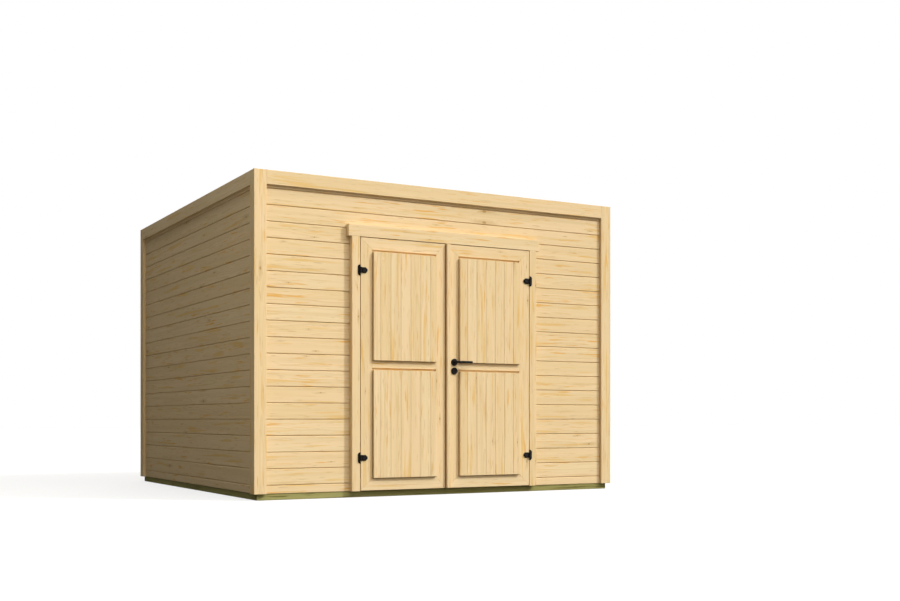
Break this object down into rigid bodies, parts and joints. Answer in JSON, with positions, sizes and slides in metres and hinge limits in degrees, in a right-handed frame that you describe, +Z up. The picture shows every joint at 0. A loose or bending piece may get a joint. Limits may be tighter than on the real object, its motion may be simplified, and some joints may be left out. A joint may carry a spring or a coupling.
{
  "type": "wooden garden shed",
  "caption": "Flat-roofed garden shed of horizontal boards on a square base frame, with a double board door that opens outwards and a lever handle.",
  "frame": {"origin": "on the ground at the centre of the square plan, on the underside of the middle floor joist", "axes": "+X to the right along the front, -Y out of the door front, +Z up"},
  "size_m": [3, 3.08, 2.263],
  "materials": {
    "pine": "untreated planed boards",
    "treated_pine": "pressure treated green, sawn",
    "roofing_felt": "matt mineral surface",
    "black_steel": "satin black"
  },
  "bodies": {
    "shed": {"base_beam_front": "treated_pine", "base_beam_back": "treated_pine", "base_beam_left": "treated_pine", "base_beam_right": "treated_pine", "floor_joists": "treated_pine", "floor": "pine", "front_wall_left": "pine", "front_wall_right": "pine", "front_wall_over_door": "pine", "back_wall": "pine", "left_wall": "pine", "right_wall": "pine", "corner_posts": "pine", "corner_trims_front_back": "pine", "corner_trims_sides": "pine", "fascia_front": "pine", "fascia_back": "pine", "fascia_left": "pine", "fascia_right": "pine", "roof_joists": "pine", "roof_deck": "pine", "roof_membrane": "roofing_felt", "door_jambs": "pine", "door_head": "pine", "door_sill": "pine", "side_casings": "pine", "head_casing": "pine", "left_hinge_plates": "black_steel", "right_hinge_plates": "black_steel"},
    "left_leaf": {"left_leaf_stiles": "pine", "left_leaf_rails": "pine", "left_leaf_lower_panel": "pine", "left_leaf_upper_panel": "pine", "left_hinge_straps": "black_steel"},
    "right_leaf": {"right_leaf_stiles": "pine", "right_leaf_rails": "pine", "right_leaf_lower_panel": "pine", "right_leaf_upper_panel": "pine", "meeting_strip": "pine", "right_hinge_straps": "black_steel", "handle_rosette": "black_steel", "key_rosette": "black_steel"},
    "lever": {"lever_handle": "black_steel"}
  },
  "joints": [
    {"name": "left_leaf_hinge", "type": "hinge", "parent": "shed", "child": "left_leaf", "pos_m": [-0.71425, -1.525, 0.95], "axis": [0, 0, -1], "range_deg": [0, 165]},
    {"name": "right_leaf_hinge", "type": "hinge", "parent": "shed", "child": "right_leaf", "pos_m": [0.71425, -1.525, 0.95], "axis": [0, 0, 1], "range_deg": [0, 165]},
    {"name": "lever_turn", "type": "hinge", "parent": "right_leaf", "child": "lever", "pos_m": [0.05, -1.53, 0.98], "axis": [0, 1, 0], "range_deg": [0, 40], "stiffness_Nm_per_rad": 1.5, "springref_deg": -28.65}
  ]
}
